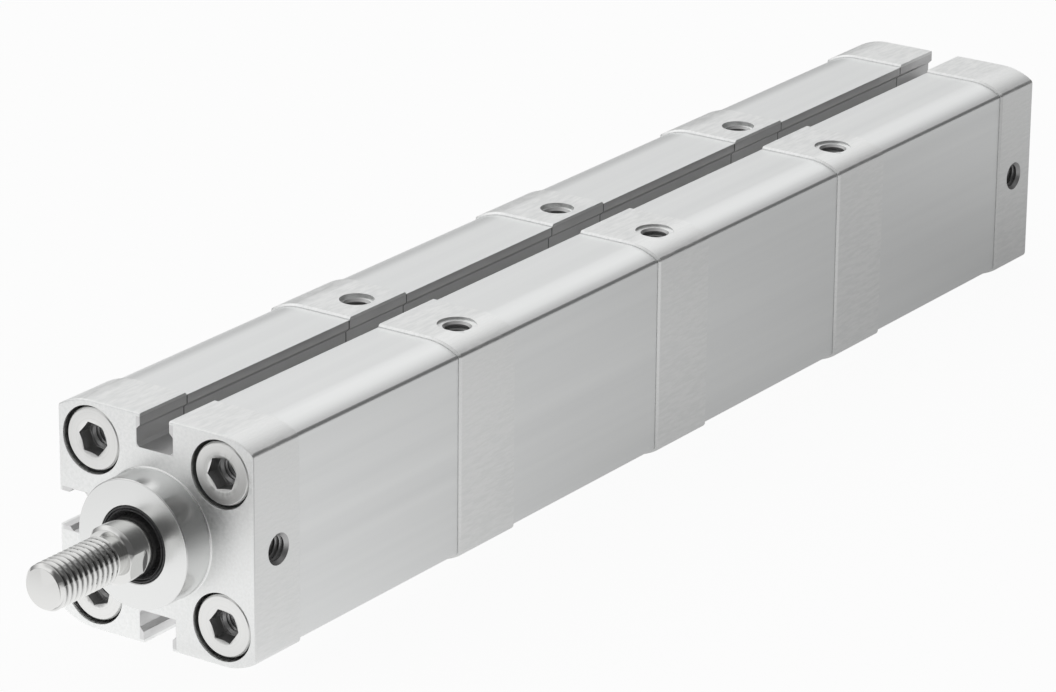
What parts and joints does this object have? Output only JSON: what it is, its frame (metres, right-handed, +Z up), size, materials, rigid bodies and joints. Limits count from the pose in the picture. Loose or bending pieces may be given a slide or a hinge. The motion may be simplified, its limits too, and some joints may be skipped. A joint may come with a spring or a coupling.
{
  "type": "high-force pneumatic cylinder",
  "caption": "Long square tandem air cylinder with stacked barrels and modules, sensor slots, air ports, a centring collar and a rod with a threaded end.",
  "frame": {"origin": "middle of the bearing cap's front face, on the rod axis", "axes": "+X along the rod and out of the front, +Z up with the module holes and a sensor slot on top, +Y the flat side with the two ports"},
  "size_m": [0.2751, 0.0396, 0.0396],
  "materials": {
    "cap_metal": "satin machined and tumbled",
    "barrel_metal": "anodised extrusion with fine lines along it",
    "rod_steel": "bright ground steel",
    "screw_steel": "bright turned steel",
    "tie_steel": "drawn steel",
    "piston_metal": "turned",
    "bronze": "sintered bronze",
    "magnet": "plastic-bonded magnet",
    "guide_plastic": "low-friction plastic",
    "seal_rubber": "heat-resistant rubber",
    "bumper_rubber": "elastic cushioning"
  },
  "bodies": {
    "housing": {"bearing_cap": "cap_metal", "rod_wiper": "seal_rubber", "rod_seal": "seal_rubber", "rod_bushing": "bronze", "front_cap_oring": "seal_rubber", "end_cap": "cap_metal", "end_cap_oring": "seal_rubber", "flange_screws_front": "screw_steel", "flange_screws_rear": "screw_steel", "tie_rods": "tie_steel", "barrel_1": "barrel_metal", "barrel_2": "barrel_metal", "barrel_3": "barrel_metal", "barrel_4": "barrel_metal", "module_1": "cap_metal", "module_bushing_1": "bronze", "module_seal_1": "seal_rubber", "module_orings_1": "seal_rubber", "module_2": "cap_metal", "module_bushing_2": "bronze", "module_seal_2": "seal_rubber", "module_orings_2": "seal_rubber", "module_3": "cap_metal", "module_bushing_3": "bronze", "module_seal_3": "seal_rubber", "module_orings_3": "seal_rubber"},
    "piston_packings": {"piston_seals_1": "seal_rubber", "guide_ring_1": "guide_plastic", "piston_seals_2": "seal_rubber", "guide_ring_2": "guide_plastic", "piston_seals_3": "seal_rubber", "guide_ring_3": "guide_plastic", "piston_seals_4": "seal_rubber", "guide_ring_4": "guide_plastic"},
    "rod_train": {"piston_rod": "rod_steel", "piston_nut": "tie_steel", "piston_1": "piston_metal", "magnet_ring_1": "magnet", "bumpers_1": "bumper_rubber", "piston_2": "piston_metal", "magnet_ring_2": "magnet", "bumpers_2": "bumper_rubber", "piston_3": "piston_metal", "magnet_ring_3": "magnet", "bumpers_3": "bumper_rubber", "piston_4": "piston_metal", "magnet_ring_4": "magnet", "bumpers_4": "bumper_rubber", "rod_link_1": "rod_steel", "rod_link_2": "rod_steel", "rod_link_3": "rod_steel"}
  },
  "joints": [
    {"name": "rod_slide", "type": "slide", "parent": "housing", "child": "piston_packings", "axis": [1, 0, 0], "range_m": [0, 0.025]},
    {"name": "rod_turn", "type": "hinge", "parent": "piston_packings", "child": "rod_train", "pos_m": [0, 0, 0], "axis": [1, 0, 0], "continuous": true}
  ]
}
